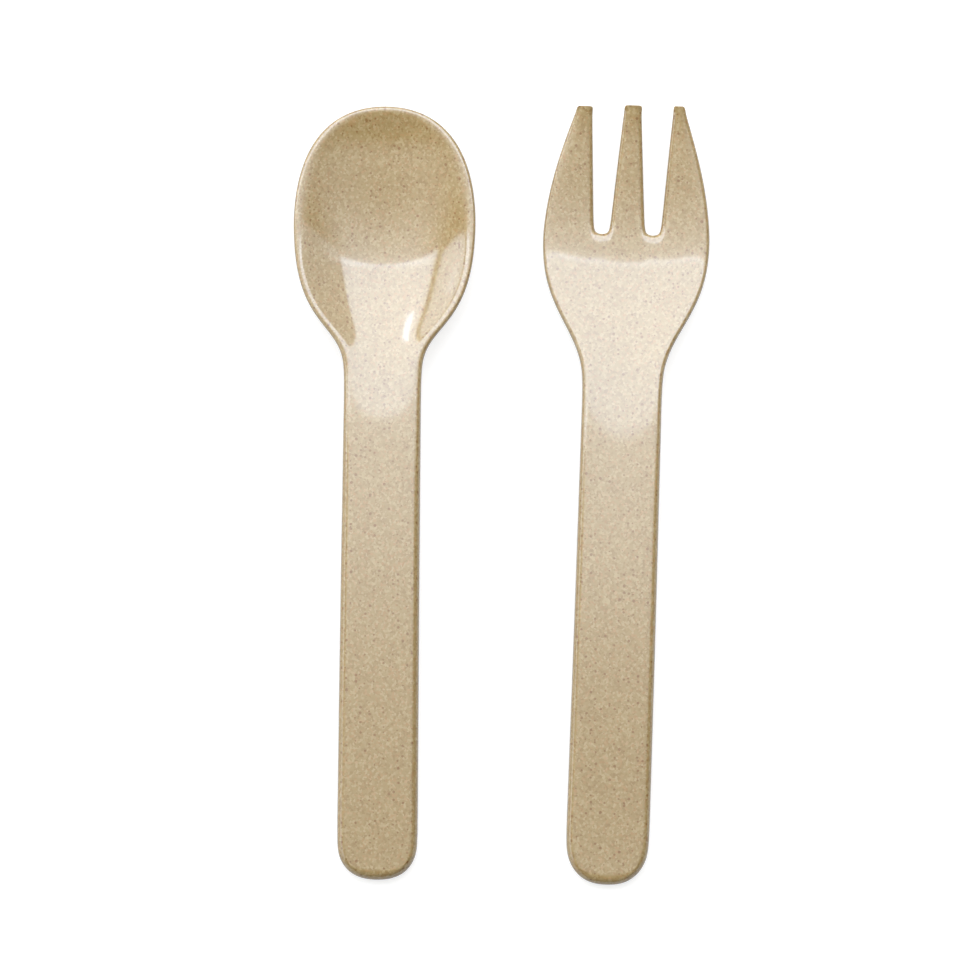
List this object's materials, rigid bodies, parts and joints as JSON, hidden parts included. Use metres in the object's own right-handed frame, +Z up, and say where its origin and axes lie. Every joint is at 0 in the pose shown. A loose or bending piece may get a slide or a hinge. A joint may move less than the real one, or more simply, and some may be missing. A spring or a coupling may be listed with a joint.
{
  "type": "children's spoon and fork set",
  "caption": "Matching children's spoon and fork moulded in speckled beige plant-fibre plastic: broad round-ended handles, an oval bowl and short tapered tines, laid side by side.",
  "frame": {"origin": "middle of the pair's bounding box, on the table that both pieces lie on", "axes": "+Z up from the table, +Y along the pieces from the handle ends to the bowl and the tines, +X from the spoon to the fork"},
  "size_m": [0.0798, 0.15, 0.0089],
  "materials": {
    "fibre_plastic": "glossy moulded beige plastic with fine brown plant-fibre specks"
  },
  "bodies": {
    "root": {"spoon": "fibre_plastic", "fork": "fibre_plastic"}
  },
  "joints": []
}
